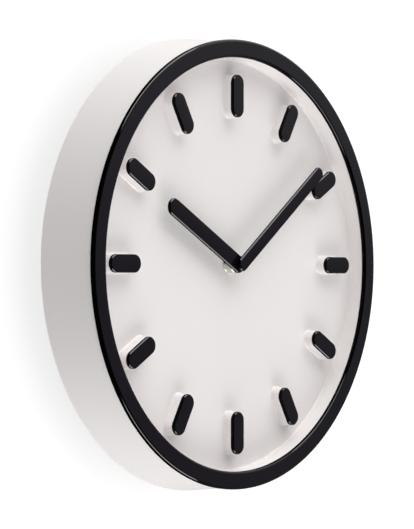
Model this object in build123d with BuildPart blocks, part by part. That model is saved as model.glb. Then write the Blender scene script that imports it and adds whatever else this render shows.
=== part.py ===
from build123d import *
import os
from math import cos, hypot, radians, sin, sqrt, tan

# A round wall clock: a white drum case with a sunken dial, a black bezel ring, raised bar marks
# and two bar hands, driven by a quartz movement that runs on one AA cell.
# Millimetres. +Z is up, the dial faces -Y, and the wall is the plane y = 0.
# A height is measured from the wall towards the viewer, so a height h lies at y = -h.

# Case and bezel: every radius follows from the radius at the wall
case_back_radius = 180.0
case_depth = 50.0  # wall to bezel face
case_flare = 5.0  # radius gained from the bezel to the wall
case_wall = 2.5
rear_rim_width = 9.0
rear_rim_thickness = 2.5
rear_edge = 0.8
bezel_overhang = 1.25  # past the case
bezel_width = 13.95
bezel_thickness = 3.5
bezel_edge = 2.4
ledge_thickness = 2.0

# Bezel screws
bezel_screw_count = 6
bezel_screw_start = 30.0  # bearing of the first screw
screw_radius = 1.5
screw_head_radius = 2.8
screw_head_height = 1.6
screw_grip = 4.0  # thread length inside the bezel post
screw_clearance = 0.05

# Dial tray
dial_depth = 17.5  # bezel face to dial
dial_thickness = 2.5
well_lip = 1.0  # bezel's inner edge to the well
well_lean = 1.0  # radius lost from the flange to the dial
well_wall = 2.0
well_fillet = 1.5
flange_thickness = 2.0
rib_thickness = 1.8
rib_height = 6.0
rib_count = 12
movement_frame_height = 4.0
movement_frame_gap = 0.6
fit_gap = 0.3  # between mouldings that drop into each other
post_gap = 0.2  # round the bezel posts

# Hour marks
hour_count = 12
mark_margin = 12.8  # well to the mark's outer end
mark_length = 33.6
mark_width = 13.7
cap_thickness = 2.7
cap_edge = 0.7
plinth_height = 7.6
plinth_draft = 3.0  # degrees
plinth_wall = 1.8
plinth_foot = 0.8
peg_spacing = 18.0
peg_length = 3.5
peg_width = 3.0
peg_gap = 0.1

# Hands, angles clockwise from twelve
hour_angle = 298.9
hour_short = 43.6  # mark's middle to the centre of the round tip
hour_width = 13.4
hour_thickness = 2.4
hour_drop = 6.1  # bezel face to hand face
minute_angle = 53.1
minute_short = 7.95
minute_width = 10.7
minute_thickness = 2.3
minute_drop = 1.86
minute_boss_radius = 4.0
hand_gap = 0.8  # hour hand's face to the minute hand's boss
minute_skin = 0.8  # closed face over the minute arbor
hand_edge = 0.65
hand_fit = 0.02

# Centre bush and its fixing
bush_radius = 4.0
bush_flange_radius = 5.5
bush_flange_thickness = 0.8
bush_below_hour_hand = 0.9
dial_hole_gap = 0.2
gasket_radius = 13.0
gasket_thickness = 0.8
dial_washer_radius = 7.6
dial_washer_thickness = 0.8
collar_radius = 6.6
collar_below_bush = 0.6
collar_chamfer = 0.4
spanner_slot_width = 1.6
spanner_slot_depth = 1.2

# Movement housing
movement_depth = 16.0
movement_corner = 3.0
housing_front_wall = 2.0
housing_side_wall = 1.4
housing_rear_wall = 1.6
base_depth = 9.0  # from the front face to the parting line
bay_tower_depth = 14.0
cover_bottom = -10.6
partition_bottom = -12.2  # over the cell bay
partition_thickness = 1.2

# Running fits of the train
arbor_gap = 0.04
pivot_gap = 0.03
minute_arbor_radius = 1.5
hour_tube_radius = 2.5
clutch_radius = 1.0
pivot_radius = 0.3
arbor_radius = 0.6
setting_arbor_radius = 1.0
pivot_depth = 0.9
pivot_boss_radius = 1.2
pivot_boss_gap = 0.5  # rotor to the rear bosses
post_top_gap = 0.2  # between a post's top and the wheel over it
third_post_radius = 1.5
transfer_post_radius = 0.8
bridge_post_radius = 1.8
bridge_pin_radius = 0.8
bridge_reach_left = 18.0  # dial axis to the bridge posts
bridge_reach_right = 16.0
bridge_drop = 6.5
bridge_rise = 10.5

# Train layers, depths behind the movement's front face
hour_layer = 2.3
hand_layer = 3.5
centre_layer = 4.7
third_layer = 5.8
bridge_layer = 6.9
bridge_thickness = 1.0
seconds_layer = 8.3
intermediate_layer = 9.4
rotor_layer = 10.5
wheel_thickness = 0.7

# Train centres and teeth
transfer_distance = 7.5
transfer_bearing = 150.0
third_distance = 8.16
third_bearing = 20.0
intermediate_distance = 6.0
intermediate_bearing = 100.0
rotor_distance = 5.6
rotor_bearing = 80.0
cannon_teeth = 12
transfer_teeth = 36
transfer_pinion_teeth = 9
hour_teeth = 36
setting_teeth = 12
centre_teeth = 45
third_teeth = 48
seconds_teeth = 30
intermediate_teeth = 36
leaf_count = 6  # leaves on the small pinions

# Tooth shape: addendum and dedendum in modules, tip and root widths in pitches
wheel_tooth = (0.75, 1.15, 0.18, 0.50)
pinion_tooth = (0.55, 1.30, 0.20, 0.42)
knob_tooth = (0.30, 0.40, 0.30, 0.60)

# Setting knob
knob_radius = 5.5
knob_ridges = 20
knob_thickness = 3.0
knob_stand_off = 0.3

# Step motor
magnet_radius = 2.4
magnet_thickness = 1.6
stator_inset = 0.4  # magnet front to stator front
stator_thickness = 0.8
stator_bore = 2.8
stator_ring_radius = 4.6
stator_slit = 0.6
stator_rim = 1.2  # ring to the top of the cross bar
stator_bar_width = 3.4
stator_leg_inner = 10.3
stator_leg_width = 3.1
stator_leg_past = 1.9  # coil axis to the top of the legs
stator_post_radius = 1.3
coil_space = 0.7  # cross bar to the bobbin
coil_room = 1.5  # bobbin to the housing wall
coil_length = 20.0
core_width = 3.0
core_length = 26.0
bobbin_flange = 0.9
bobbin_wall = 0.75
bobbin_flange_width = 7.2
bobbin_flange_depth = 6.8
winding_width = 6.6
winding_depth = 6.2
winding_corner = 1.5
coil_gap = 0.05

# Circuit board
board_left = 14.0
board_edge_gap = 0.3  # board to the housing wall
board_inset = 2.0  # board edge to its posts
board_bottom = -8.0
board_top = 17.0
board_thickness = 0.8
board_post_radius = 1.3
chip_radius = 2.4
chip_height = 0.9
chip_from_left = 4.6
chip_above_axis = 4.0
crystal_radius = 1.0
crystal_length = 6.0

# Cell and contacts
cell_radius = 7.1
cell_body = 48.8
cell_nub = 1.2
cell_nub_radius = 2.6
cell_edge = 0.8
cell_gap = 0.1
contact_thickness = 0.4
contact_touch = 0.05
spring_room = 2.4  # for the bow of the negative leaf
contact_width = 8.0
leaf_half_span = 4.2
leaf_margin = 1.0  # plate past the leaf
tail_depth = 1.5
plate_tall = 9.2  # positive contact plate
pad_land = 3.0  # contact tab on the board, along the tail
pad_reach = 4.0  # contact tab on the board, across
negative_land = 2.0  # board edge to the end of the negative tail

# Hanger
keyhole_below_edge = 28.0  # top of the case to the entry hole
keyhole_radius = 4.6
keyhole_slot = 4.6
keyhole_rise = 9.0
hanger_width = 46.0
hanger_tall = 26.0
hanger_thickness = 1.2
hanger_recess = 2.0  # wall to the plate
hanger_screw_spacing = 34.0
pad_width = 60.0
pad_tail = 13.0  # pad below the entry hole
pad_thickness = 3.0
pad_head_room = 6.5  # half width of the pocket for the wall screw's head
pad_boss_radius = 3.2
pad_boss_height = 4.0
gusset_thickness = 2.0
gusset_height = 18.0
gusset_run = 24.0

section = Plane(origin=(0, 0, 0), x_dir=(1, 0, 0), z_dir=(0, 0, -1))  # radius across, height up


def front_plane(height):
    return Plane.XZ.offset(height)


def level(depth):
    """Plane parallel to the dial at a depth behind the movement's front face."""
    return Plane.XZ.offset(movement_front - depth)


def polar(distance, bearing, start=(0.0, 0.0)):
    return (start[0] + distance * cos(radians(bearing)), start[1] + distance * sin(radians(bearing)))


def case_radius(height):
    return case_back_radius - case_flare * height / bezel_seat


def clock_point(angle, distance):
    """Point on the dial at an angle clockwise from twelve."""
    return polar(distance, 90.0 - angle)


def save(part, label):
    part.label = label
    export_step(part, f"parts/{label}.step")


# Radii that follow
case_front_radius = case_back_radius - case_flare
bezel_outer_radius = case_front_radius + bezel_overhang
bezel_inner_radius = bezel_outer_radius - bezel_width
well_top_radius = bezel_inner_radius + well_lip
well_floor_radius = well_top_radius - well_lean
well_outside = well_top_radius + well_wall
flange_radius = case_front_radius - case_wall - fit_gap
ledge_radius = well_outside + fit_gap
bezel_post_radius = (flange_radius - well_outside) / 2
bezel_screw_circle = (flange_radius + well_outside) / 2
bezel_head_radius = bezel_post_radius - fit_gap
mark_radius = well_floor_radius - mark_margin - mark_length / 2
hour_length = mark_radius - hour_short  # pivot to the centre of the round tip
minute_length = mark_radius - minute_short
keyhole_height = case_back_radius - keyhole_below_edge  # dial axis to the entry hole

# Heights that follow
bezel_seat = case_depth - bezel_thickness
ledge_top = bezel_seat - flange_thickness
ledge_under = ledge_top - ledge_thickness
dial_front = case_depth - dial_depth
dial_back = dial_front - dial_thickness
plinth_top = dial_front + plinth_height
hour_face = case_depth - hour_drop
hour_under = hour_face - hour_thickness
minute_face = case_depth - minute_drop
minute_under = minute_face - minute_thickness
minute_boss_height = minute_under - hour_face - hand_gap
bush_top = hour_under - bush_below_hour_hand
movement_front = dial_back - gasket_thickness
hanger_front = hanger_recess + hanger_thickness
pad_front = hanger_front + pad_thickness
hanger_screw_height = keyhole_height + keyhole_rise / 2

# Centres of the train, seen from the front
centre_at = (0.0, 0.0)
transfer_at = polar(transfer_distance, transfer_bearing)
setting_at = polar(transfer_distance, transfer_bearing, transfer_at)
third_at = polar(third_distance, third_bearing)
intermediate_at = polar(intermediate_distance, intermediate_bearing)
rotor_at = polar(rotor_distance, rotor_bearing, intermediate_at)

# Housing sizes: as wide as the cell needs, and as tall as the motor, the train and the cell need
bush_bore = hour_tube_radius + arbor_gap
stator_bar_top = rotor_at[1] + stator_ring_radius + stator_rim
stator_bar_low = stator_bar_top - stator_bar_width
coil_axis = stator_bar_top + coil_space + bobbin_flange_width / 2
stator_top = coil_axis + stator_leg_past
stator_leg_middle = stator_leg_inner + stator_leg_width / 2
movement_width = cell_body + cell_nub + 2 * contact_thickness + spring_room + 2 * housing_side_wall
movement_top = coil_axis + bobbin_flange_width / 2 + coil_room + housing_side_wall
cell_axis = partition_bottom - cell_gap - cell_radius
movement_bottom = cell_axis - cell_radius - cell_gap - housing_side_wall
movement_height = movement_top - movement_bottom
movement_middle = (movement_top + movement_bottom) / 2
half_movement = movement_width / 2
inner_half = half_movement - housing_side_wall
inner_top = movement_top - housing_side_wall
bay_height = partition_bottom - movement_bottom - housing_side_wall
partition_top = partition_bottom + partition_thickness

# Depths behind the movement's front face
rear_inside = movement_depth - housing_rear_wall
stator_layer = rotor_layer + stator_inset
core_layer = stator_layer - stator_thickness
coil_layer = core_layer + stator_thickness / 2
board_layer = base_depth
board_rear = board_layer + board_thickness
board_right = inner_half - board_edge_gap
cell_layer = housing_front_wall + cell_gap + cell_radius
cell_right = inner_half - contact_thickness - contact_touch - cell_nub
cell_left = cell_right - cell_body

# Posts of the movement base
bridge_posts = (
    (-bridge_reach_left, -bridge_drop),
    (bridge_reach_right, -bridge_drop),
    (bridge_reach_right, bridge_rise),
)
stator_posts = [(side * stator_leg_middle, (stator_bar_low + stator_bar_top) / 2) for side in (-1, 1)]
board_posts = [
    (board_right - board_inset, height)
    for height in (board_bottom + board_inset, board_top - board_inset)
]

os.makedirs("parts", exist_ok=True)

# Case: a drum that flares to the wall, with a rear rim, a front ledge and a hanger pad
with BuildPart() as case_shell:
    with BuildSketch(section) as case_profile:
        with BuildLine():
            Polyline(
                (case_back_radius, 0),
                (case_front_radius, bezel_seat),
                (case_front_radius - case_wall, bezel_seat),
                (case_front_radius - case_wall, ledge_top),
                (ledge_radius, ledge_top),
                (ledge_radius, ledge_under),
                (case_radius(ledge_under) - case_wall, ledge_under),
                (case_radius(rear_rim_thickness) - case_wall, rear_rim_thickness),
                (case_back_radius - rear_rim_width, rear_rim_thickness),
                (case_back_radius - rear_rim_width, 0),
                close=True,
            )
        make_face()
        chamfer(case_profile.vertices().sort_by(Axis.X)[-1], rear_edge)
    revolve(axis=Axis.Y)
    with BuildSketch(front_plane(hanger_front)):
        Circle(case_radius(hanger_front) - case_wall / 2)
        with Locations((0, keyhole_height - pad_tail)):
            Rectangle(pad_width, case_back_radius, align=(Align.CENTER, Align.MIN), mode=Mode.INTERSECT)
    extrude(amount=pad_thickness)
    with BuildSketch(front_plane(pad_front)):
        with Locations((0, hanger_screw_height)):
            with GridLocations(hanger_screw_spacing, 0, 2, 1):
                Circle(pad_boss_radius)
    extrude(amount=pad_boss_height)
    for side in (-1, 1):
        gusset_x = side * (pad_width / 2 - gusset_thickness / 2)
        gusset_rim = [
            sqrt((case_radius(h) - case_wall / 2) ** 2 - gusset_x**2)
            for h in (pad_front, pad_front + gusset_height)
        ]
        with BuildSketch(Plane.YZ.offset(gusset_x)):
            with BuildLine():
                Polyline(
                    (-pad_front, gusset_rim[0] - gusset_run),
                    (-pad_front, gusset_rim[0]),
                    (-pad_front - gusset_height, gusset_rim[1]),
                    close=True,
                )
            make_face()
        extrude(amount=gusset_thickness / 2, both=True)
    with BuildSketch(front_plane(hanger_front)):
        with Locations((0, keyhole_height + keyhole_rise / 2)):
            SlotCenterToCenter(keyhole_rise, 2 * pad_head_room, rotation=90)
        with Locations((0, hanger_screw_height)):
            with GridLocations(hanger_screw_spacing, 0, 2, 1):
                Circle(screw_radius + screw_clearance)
    extrude(amount=pad_thickness + pad_boss_height, mode=Mode.SUBTRACT)
    with BuildSketch(front_plane(ledge_under)):
        with PolarLocations(bezel_screw_circle, bezel_screw_count, start_angle=bezel_screw_start):
            Circle(screw_radius + post_gap)
    extrude(amount=ledge_thickness, mode=Mode.SUBTRACT)
save(case_shell.part, "case_shell")

# Dial tray: dial plate, well wall and flange in one moulding, with a hollow plinth under each mark
plinth_flare = plinth_height * tan(radians(plinth_draft))
hollow_flare = (plinth_height + dial_thickness - plinth_wall) * tan(radians(plinth_draft))
with BuildPart() as dial_tray:
    with BuildSketch(section) as tray_profile:
        with BuildLine():
            Polyline(
                (0, dial_back),
                (well_floor_radius + well_wall, dial_back),
                (well_outside, ledge_top),
                (flange_radius, ledge_top),
                (flange_radius, bezel_seat),
                (well_top_radius, bezel_seat),
                (well_floor_radius, dial_front),
                (0, dial_front),
                close=True,
            )
        make_face()
        corner = tray_profile.vertices().group_by(Axis.Y)[1].sort_by(Axis.X)[-1]
        fillet(corner, well_fillet)
    revolve(axis=Axis.Y)
    with BuildSketch(front_plane(dial_front)):
        with PolarLocations(mark_radius, hour_count):
            SlotOverall(mark_length + 2 * plinth_flare, mark_width + 2 * plinth_flare)
    extrude(amount=plinth_height, taper=plinth_draft)
    foot_edges = dial_tray.edges().filter_by_position(Axis.Y, -dial_front, -dial_front)
    chamfer(
        [
            edge
            for edge in foot_edges
            if abs(hypot(edge.center().X, edge.center().Z) - mark_radius) < mark_length
        ],
        plinth_foot,
    )
    with BuildSketch(front_plane(dial_back)):
        with PolarLocations(mark_radius, hour_count):
            SlotOverall(
                mark_length - 2 * plinth_wall + 2 * hollow_flare,
                mark_width - 2 * plinth_wall + 2 * hollow_flare,
            )
    extrude(
        amount=plinth_height + dial_thickness - plinth_wall, taper=plinth_draft, mode=Mode.SUBTRACT
    )
    with BuildSketch(front_plane(plinth_top)):
        for peg_circle in (mark_radius - peg_spacing / 2, mark_radius + peg_spacing / 2):
            with PolarLocations(peg_circle, hour_count):
                Rectangle(peg_width + 2 * peg_gap, peg_width + 2 * peg_gap)
    extrude(amount=-plinth_wall, mode=Mode.SUBTRACT)
    frame_width = movement_width + 2 * movement_frame_gap
    frame_height = movement_height + 2 * movement_frame_gap
    rib_start = hypot(frame_width, frame_height) / 2 + 2 * rib_thickness
    with BuildSketch(front_plane(dial_back)):
        with Locations((0, movement_middle)):
            Rectangle(frame_width + 2 * rib_thickness, frame_height + 2 * rib_thickness)
            Rectangle(frame_width, frame_height, mode=Mode.SUBTRACT)
    extrude(amount=-movement_frame_height)
    with BuildSketch(front_plane(dial_back)):
        with PolarLocations((rib_start + well_floor_radius) / 2, rib_count, start_angle=180 / rib_count):
            Rectangle(well_floor_radius - rib_start, rib_thickness)
    extrude(amount=-rib_height)
    with BuildSketch(front_plane(dial_back)):
        Circle(bush_radius + dial_hole_gap)
    extrude(amount=dial_thickness, mode=Mode.SUBTRACT)
    with BuildSketch(front_plane(ledge_top)):
        with PolarLocations(bezel_screw_circle, bezel_screw_count, start_angle=bezel_screw_start):
            Circle(bezel_post_radius + post_gap)
    extrude(amount=flange_thickness, mode=Mode.SUBTRACT)
save(dial_tray.part, "dial_tray")

# Bezel ring with the posts that its screws bite into
with BuildPart() as bezel_ring:
    with BuildSketch(section) as bezel_profile:
        with BuildLine():
            Polyline(
                (bezel_inner_radius, bezel_seat),
                (bezel_outer_radius, bezel_seat),
                (bezel_outer_radius, case_depth),
                (bezel_inner_radius, case_depth),
                close=True,
            )
        make_face()
        chamfer(bezel_profile.vertices().group_by(Axis.Y)[-1], bezel_edge)
    revolve(axis=Axis.Y)
    with BuildSketch(front_plane(bezel_seat)):
        with PolarLocations(bezel_screw_circle, bezel_screw_count, start_angle=bezel_screw_start):
            Circle(bezel_post_radius)
    extrude(amount=-flange_thickness)
    with BuildSketch(front_plane(ledge_top)):
        with PolarLocations(bezel_screw_circle, bezel_screw_count, start_angle=bezel_screw_start):
            Circle(screw_radius + screw_clearance)
    extrude(amount=screw_grip + screw_clearance, mode=Mode.SUBTRACT)
save(bezel_ring.part, "bezel_ring")

# Screws that clamp the bezel and the tray flange to the case ledge
with BuildPart() as bezel_screws:
    with BuildSketch(front_plane(ledge_under)):
        with PolarLocations(bezel_screw_circle, bezel_screw_count, start_angle=bezel_screw_start):
            Circle(bezel_head_radius)
    extrude(amount=-screw_head_height)
    with BuildSketch(front_plane(ledge_under)):
        with PolarLocations(bezel_screw_circle, bezel_screw_count, start_angle=bezel_screw_start):
            Circle(screw_radius)
    extrude(amount=ledge_thickness + screw_grip)
save(bezel_screws.part, "bezel_screws")

# Hour marks: a black cap on each plinth, held by two pegs
for hour in range(1, hour_count + 1):
    bearing = 90 - 360 / hour_count * hour
    with BuildPart() as marker:
        with BuildSketch(front_plane(plinth_top)):
            with PolarLocations(mark_radius, 1, start_angle=bearing):
                SlotOverall(mark_length, mark_width)
        extrude(amount=cap_thickness)
        chamfer(marker.faces().sort_by(Axis.Y)[0].edges(), cap_edge)
        with BuildSketch(front_plane(plinth_top)):
            with PolarLocations(mark_radius, 1, start_angle=bearing):
                with GridLocations(peg_spacing, 0, 2, 1):
                    Rectangle(peg_width, peg_width)
        extrude(amount=-peg_length)
    save(marker.part, f"hour_marker_{hour:02d}")

# Hands: flat bars with round ends, pivoting about the centre of the hub end
with BuildPart() as hour_hand:
    with BuildSketch(front_plane(hour_under)):
        SlotCenterPoint(
            clock_point(hour_angle, hour_length / 2), clock_point(hour_angle, hour_length), hour_width
        )
    extrude(amount=hour_thickness)
    chamfer(hour_hand.faces().sort_by(Axis.Y)[0].edges(), hand_edge)
    with BuildSketch(front_plane(hour_under)):
        Circle(hour_tube_radius + hand_fit)
    extrude(amount=hour_thickness, mode=Mode.SUBTRACT)
save(hour_hand.part, "hour_hand")

with BuildPart() as minute_hand:
    with BuildSketch(front_plane(minute_under)):
        SlotCenterPoint(
            clock_point(minute_angle, minute_length / 2),
            clock_point(minute_angle, minute_length),
            minute_width,
        )
    extrude(amount=minute_thickness)
    chamfer(minute_hand.faces().sort_by(Axis.Y)[0].edges(), hand_edge)
    with BuildSketch(front_plane(minute_under)):
        Circle(minute_boss_radius)
    extrude(amount=-minute_boss_height)
    with BuildSketch(front_plane(minute_under - minute_boss_height)):
        Circle(minute_arbor_radius + hand_fit)
    extrude(amount=minute_boss_height + minute_thickness - minute_skin, mode=Mode.SUBTRACT)
save(minute_hand.part, "minute_hand")

# Bush, gasket, washer and collar nut that hold the movement to the dial
with BuildPart() as centre_bush:
    with BuildSketch(level(housing_front_wall - bush_flange_thickness)):
        Circle(bush_radius)
    extrude(amount=bush_top - movement_front + housing_front_wall - bush_flange_thickness)
    with BuildSketch(level(housing_front_wall - bush_flange_thickness)):
        Circle(bush_flange_radius)
    extrude(amount=-bush_flange_thickness)
    with BuildSketch(level(housing_front_wall)):
        Circle(bush_bore)
    extrude(amount=bush_top - movement_front + housing_front_wall, mode=Mode.SUBTRACT)
save(centre_bush.part, "centre_bush")

with BuildPart() as rubber_gasket:
    with BuildSketch(level(0)):
        Circle(gasket_radius)
        Circle(bush_radius + dial_hole_gap, mode=Mode.SUBTRACT)
    extrude(amount=gasket_thickness)
save(rubber_gasket.part, "rubber_gasket")

with BuildPart() as dial_washer:
    with BuildSketch(front_plane(dial_front)):
        Circle(dial_washer_radius)
        Circle(bush_radius + dial_hole_gap, mode=Mode.SUBTRACT)
    extrude(amount=dial_washer_thickness)
save(dial_washer.part, "dial_washer")

collar_seat = dial_front + dial_washer_thickness
collar_top = bush_top - collar_below_bush
with BuildPart() as collar_nut:
    with BuildSketch(front_plane(collar_seat)):
        Circle(collar_radius)
    extrude(amount=collar_top - collar_seat)
    chamfer(collar_nut.faces().sort_by(Axis.Y)[0].edges(), collar_chamfer)
    with BuildSketch(front_plane(collar_top)):
        Rectangle(2 * collar_radius, spanner_slot_width)
    extrude(amount=-spanner_slot_depth, mode=Mode.SUBTRACT)
    with BuildSketch(front_plane(collar_seat)):
        Circle(bush_radius + screw_clearance)
    extrude(amount=collar_top - collar_seat, mode=Mode.SUBTRACT)
save(collar_nut.part, "collar_nut")

# Movement base: the front half of the housing, with the cell bay below and the train's posts
with BuildPart() as movement_base:
    with BuildSketch(level(0)):
        with Locations((0, movement_middle)):
            RectangleRounded(movement_width, movement_height, movement_corner)
    extrude(amount=-base_depth)
    with BuildSketch(level(housing_front_wall)):
        with Locations((0, (partition_top + inner_top) / 2)):
            Rectangle(2 * inner_half, inner_top - partition_top)
        with Locations((0, cell_axis)):
            Rectangle(2 * inner_half, bay_height)
    extrude(amount=housing_front_wall - base_depth, mode=Mode.SUBTRACT)
    with BuildSketch(level(base_depth)):
        for side in (-1, 1):
            with Locations((side * (half_movement - housing_side_wall / 2), cell_axis)):
                Rectangle(housing_side_wall, bay_height)
    extrude(amount=base_depth - bay_tower_depth)
    for post, radius, top in (
        *((at, bridge_post_radius, bridge_layer) for at in bridge_posts),
        *((at, bridge_pin_radius, bridge_layer + bridge_thickness) for at in bridge_posts),
        *((at, stator_post_radius, stator_layer) for at in stator_posts),
        *((at, board_post_radius, board_layer) for at in board_posts),
        (third_at, third_post_radius, centre_layer - post_top_gap),
        (transfer_at, transfer_post_radius, centre_layer - post_top_gap),
    ):
        with BuildSketch(level(housing_front_wall)):
            with Locations(post):
                Circle(radius)
        extrude(amount=housing_front_wall - top)
    with BuildSketch(level(centre_layer - post_top_gap)):
        with Locations(third_at):
            Circle(pivot_radius + pivot_gap)
    extrude(amount=pivot_depth, mode=Mode.SUBTRACT)
    with BuildSketch(level(housing_front_wall)):
        with Locations(setting_at):
            Circle(arbor_radius + arbor_gap)
    extrude(amount=pivot_depth, mode=Mode.SUBTRACT)
    with BuildSketch(level(0)):
        Circle(bush_radius + hand_fit)
    extrude(amount=-housing_front_wall, mode=Mode.SUBTRACT)
    with BuildSketch(level(housing_front_wall)):
        Circle(bush_flange_radius + hand_fit)
    extrude(amount=bush_flange_thickness, mode=Mode.SUBTRACT)
save(movement_base.part, "movement_base")

# Movement cover: the rear half, open over the cell, with the rear pivot bosses
cover_height = movement_top - cover_bottom
cover_middle = (movement_top + cover_bottom) / 2
boss_front = rotor_layer + magnet_thickness + pivot_boss_gap
contact_notch = contact_thickness + 2 * fit_gap
with BuildPart() as movement_cover:
    with BuildSketch(level(base_depth)):
        with Locations((0, cover_middle)):
            RectangleRounded(movement_width, cover_height, movement_corner)
    extrude(amount=base_depth - movement_depth)
    with BuildSketch(level(base_depth)):
        with Locations((0, cover_middle)):
            Rectangle(2 * inner_half, cover_height - 2 * housing_side_wall)
    extrude(amount=base_depth - rear_inside, mode=Mode.SUBTRACT)
    with BuildSketch(level(boss_front)):
        with Locations(centre_at, intermediate_at, rotor_at):
            Circle(pivot_boss_radius)
    extrude(amount=boss_front - rear_inside)
    with BuildSketch(level(boss_front)):
        with Locations(centre_at, intermediate_at, rotor_at):
            Circle(pivot_radius + pivot_gap)
    extrude(amount=-pivot_depth, mode=Mode.SUBTRACT)
    with BuildSketch(level(rear_inside)):
        with Locations(setting_at):
            Circle(setting_arbor_radius + arbor_gap)
    extrude(amount=-housing_rear_wall, mode=Mode.SUBTRACT)
    with BuildSketch(level(board_rear)):
        for side in (-1, 1):
            with Locations((side * (inner_half - contact_notch / 2), cover_bottom)):
                Rectangle(contact_notch, 4 * housing_side_wall)
    extrude(amount=-(tail_depth + 2 * fit_gap), mode=Mode.SUBTRACT)
save(movement_cover.part, "movement_cover")

# Train bridge: the plate that carries the middle pivots
bridge_left = bridge_posts[0][0] - bridge_post_radius
bridge_right = bridge_posts[1][0] + bridge_post_radius
bridge_low = bridge_posts[1][1] - bridge_post_radius
bridge_high = rotor_at[1] + bridge_post_radius
bridge_step = setting_at[1] + bridge_post_radius
with BuildPart() as train_bridge:
    with BuildSketch(level(bridge_layer)) as bridge_face:
        with BuildLine():
            Polyline(
                (bridge_left, bridge_low),
                (bridge_right, bridge_low),
                (bridge_right, bridge_high),
                (setting_at[0] / 2, bridge_high),
                (setting_at[0], bridge_step),
                (bridge_left, bridge_step),
                close=True,
            )
        make_face()
        fillet(bridge_face.vertices(), bridge_post_radius)
        with Locations(*bridge_posts):
            Circle(bridge_pin_radius + pivot_gap, mode=Mode.SUBTRACT)
        with Locations(third_at, intermediate_at, rotor_at):
            Circle(pivot_radius + pivot_gap, mode=Mode.SUBTRACT)
        with Locations(centre_at):
            Circle(arbor_radius + arbor_gap, mode=Mode.SUBTRACT)
        with Locations(setting_at):
            Circle(setting_arbor_radius + arbor_gap, mode=Mode.SUBTRACT)
    extrude(amount=-bridge_thickness)
save(train_bridge.part, "train_bridge")


def gear_points(teeth, module, phase, tooth, centre):
    """Corners of a wheel with straight-flanked teeth; phase is the bearing of one tooth in degrees."""
    addendum, dedendum, tip, root = tooth
    pitch = 360 / teeth
    low = module * (teeth / 2 - dedendum)
    high = module * (teeth / 2 + addendum)
    corners = ((low, -root), (high, -tip), (high, tip), (low, root))
    return [
        polar(radius, phase + pitch * (index + share / 2), centre)
        for index in range(teeth)
        for radius, share in corners
    ]


def meshing_phase(teeth, phase, bearing, other_teeth):
    """Phase of a wheel so that its gap faces a tooth of the wheel that it meets along a bearing."""
    lead = (bearing - phase) * teeth / 360
    return bearing + 180 - (0.5 - lead) * 360 / other_teeth


def turned_wheel(label, centre, arbor, gears, bores=()):
    """A wheel moulded on its arbor. Arbor and bore steps are (radius, front depth, rear depth),
    and each gear is (teeth, module, phase, tooth shape, front depth, thickness)."""
    with BuildPart() as wheel:
        for radius, front, rear in arbor:
            with BuildSketch(level(front)):
                with Locations(centre):
                    Circle(radius)
            extrude(amount=front - rear)
        for teeth, module, phase, tooth, front, thickness in gears:
            with BuildSketch(level(front)):
                with BuildLine():
                    Polyline(*gear_points(teeth, module, phase, tooth, centre), close=True)
                make_face()
            extrude(amount=-thickness)
        for radius, front, rear in bores:
            with BuildSketch(level(front)):
                with Locations(centre):
                    Circle(radius)
            extrude(amount=front - rear, mode=Mode.SUBTRACT)
    save(wheel.part, label)


# Modules from the centre distances
cannon_module = 2 * transfer_distance / (cannon_teeth + transfer_teeth)
hour_module = 2 * transfer_distance / (hour_teeth + transfer_pinion_teeth)
centre_module = 2 * third_distance / (centre_teeth + leaf_count)
third_module = 2 * third_distance / (third_teeth + leaf_count)
seconds_module = 2 * intermediate_distance / (seconds_teeth + leaf_count)
intermediate_module = 2 * rotor_distance / (intermediate_teeth + leaf_count)

# Phases that set every tooth opposite a gap
transfer_phase = meshing_phase(cannon_teeth, 0, transfer_bearing, transfer_teeth)
hour_phase = meshing_phase(transfer_pinion_teeth, 0, transfer_bearing + 180, hour_teeth)
setting_phase = meshing_phase(transfer_teeth, transfer_phase, transfer_bearing, setting_teeth)
centre_phase = meshing_phase(leaf_count, 0, third_bearing + 180, centre_teeth)
third_phase = meshing_phase(leaf_count, 0, third_bearing, third_teeth)
seconds_phase = meshing_phase(leaf_count, 0, intermediate_bearing + 180, seconds_teeth)
intermediate_phase = meshing_phase(leaf_count, 0, rotor_bearing + 180, intermediate_teeth)

# Hand work: minute arbor with its cannon pinion, hour wheel, transfer wheel, setting knob
hour_face_depth = movement_front - hour_face
minute_tip_depth = movement_front - (minute_face - minute_skin - fit_gap)
clutch_end = centre_layer + wheel_thickness + post_top_gap
front_pivot = pivot_radius + arbor_gap
turned_wheel(
    "minute_arbor",
    centre_at,
    arbor=(
        (minute_arbor_radius, minute_tip_depth, hand_layer),
        (clutch_radius, hand_layer, clutch_end),
    ),
    gears=((cannon_teeth, cannon_module, 0, pinion_tooth, hand_layer, wheel_thickness),),
    bores=((front_pivot + pivot_gap, clutch_end - pivot_depth, clutch_end),),
)
turned_wheel(
    "hour_wheel",
    centre_at,
    arbor=((hour_tube_radius, hour_face_depth, hour_layer),),
    gears=((hour_teeth, hour_module, hour_phase, wheel_tooth, hour_layer, wheel_thickness),),
    bores=((minute_arbor_radius + arbor_gap, hour_face_depth, hour_layer + wheel_thickness),),
)
turned_wheel(
    "transfer_wheel",
    transfer_at,
    arbor=((2 * transfer_post_radius, hour_layer + wheel_thickness, hand_layer),),
    gears=(
        (transfer_pinion_teeth, hour_module, 0, pinion_tooth, hour_layer, wheel_thickness),
        (transfer_teeth, cannon_module, transfer_phase, wheel_tooth, hand_layer, wheel_thickness),
    ),
    bores=((transfer_post_radius + arbor_gap, hour_layer, hand_layer + wheel_thickness),),
)
knob_front = movement_depth + knob_stand_off
knob_module = 2 * knob_radius / knob_ridges
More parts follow.
